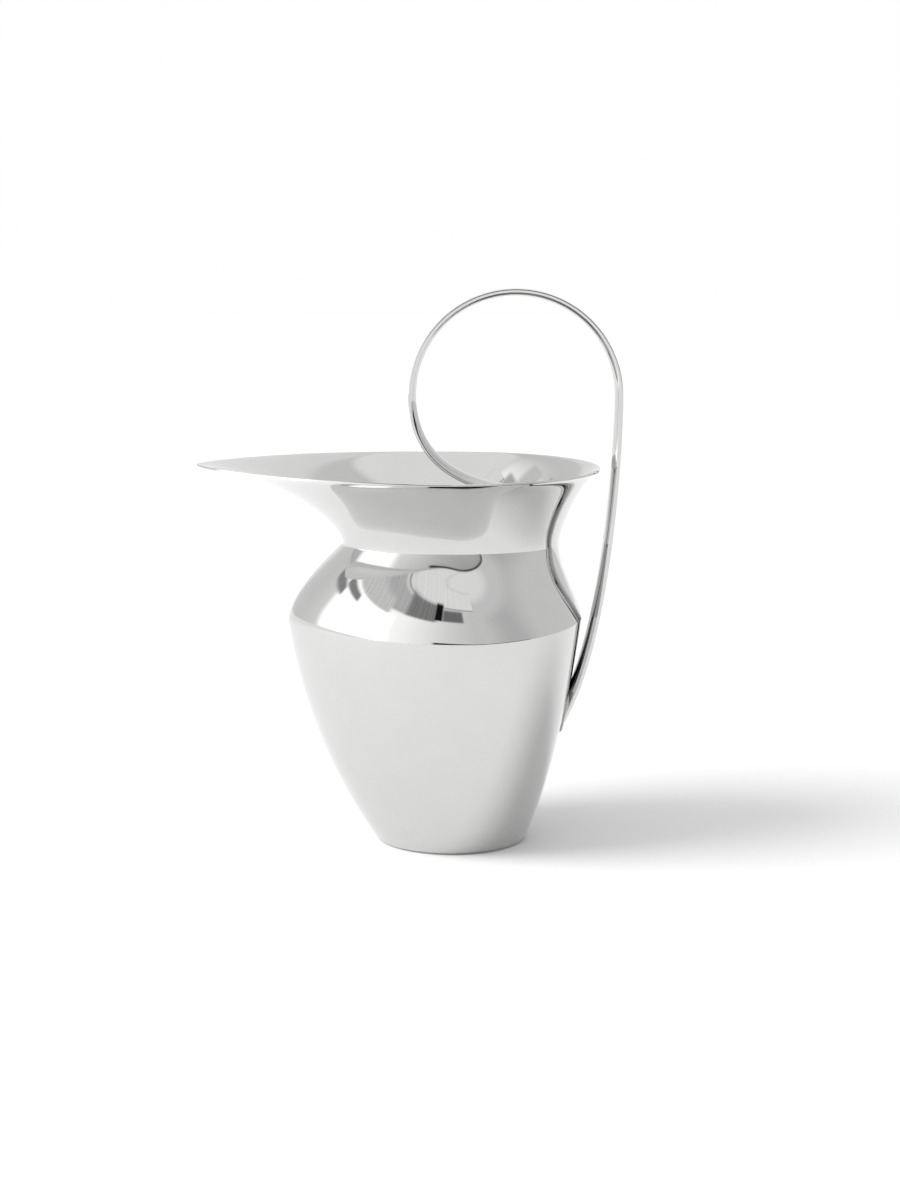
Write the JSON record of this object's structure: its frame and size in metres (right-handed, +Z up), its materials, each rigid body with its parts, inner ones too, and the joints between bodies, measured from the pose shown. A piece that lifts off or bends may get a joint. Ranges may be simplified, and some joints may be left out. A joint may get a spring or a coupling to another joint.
{
  "type": "water pitcher",
  "caption": "Polished sheet-metal water pitcher with a ridged belly, a wide pointed spout and a tall loop handle.",
  "frame": {"origin": "centre of the foot, on the plane that the pitcher stands on", "axes": "+Z up, -X towards the tip of the spout, +X towards the handle's leg, Y across"},
  "size_m": [0.2269, 0.1588, 0.2974],
  "materials": {
    "polished_sheet": "mirror polish",
    "polished_band": "mirror polish",
    "satin_base": "turned satin",
    "solder": "dull, hand-finished solder"
  },
  "bodies": {
    "root": {"base_plate": "satin_base", "lower_body": "polished_sheet", "shoulder": "polished_sheet", "spout_funnel": "polished_sheet", "handle_band": "polished_band", "base_solder": "solder", "belly_solder": "solder", "neck_solder": "solder", "handle_upper_solder": "solder", "handle_lower_solder": "solder"}
  },
  "joints": []
}
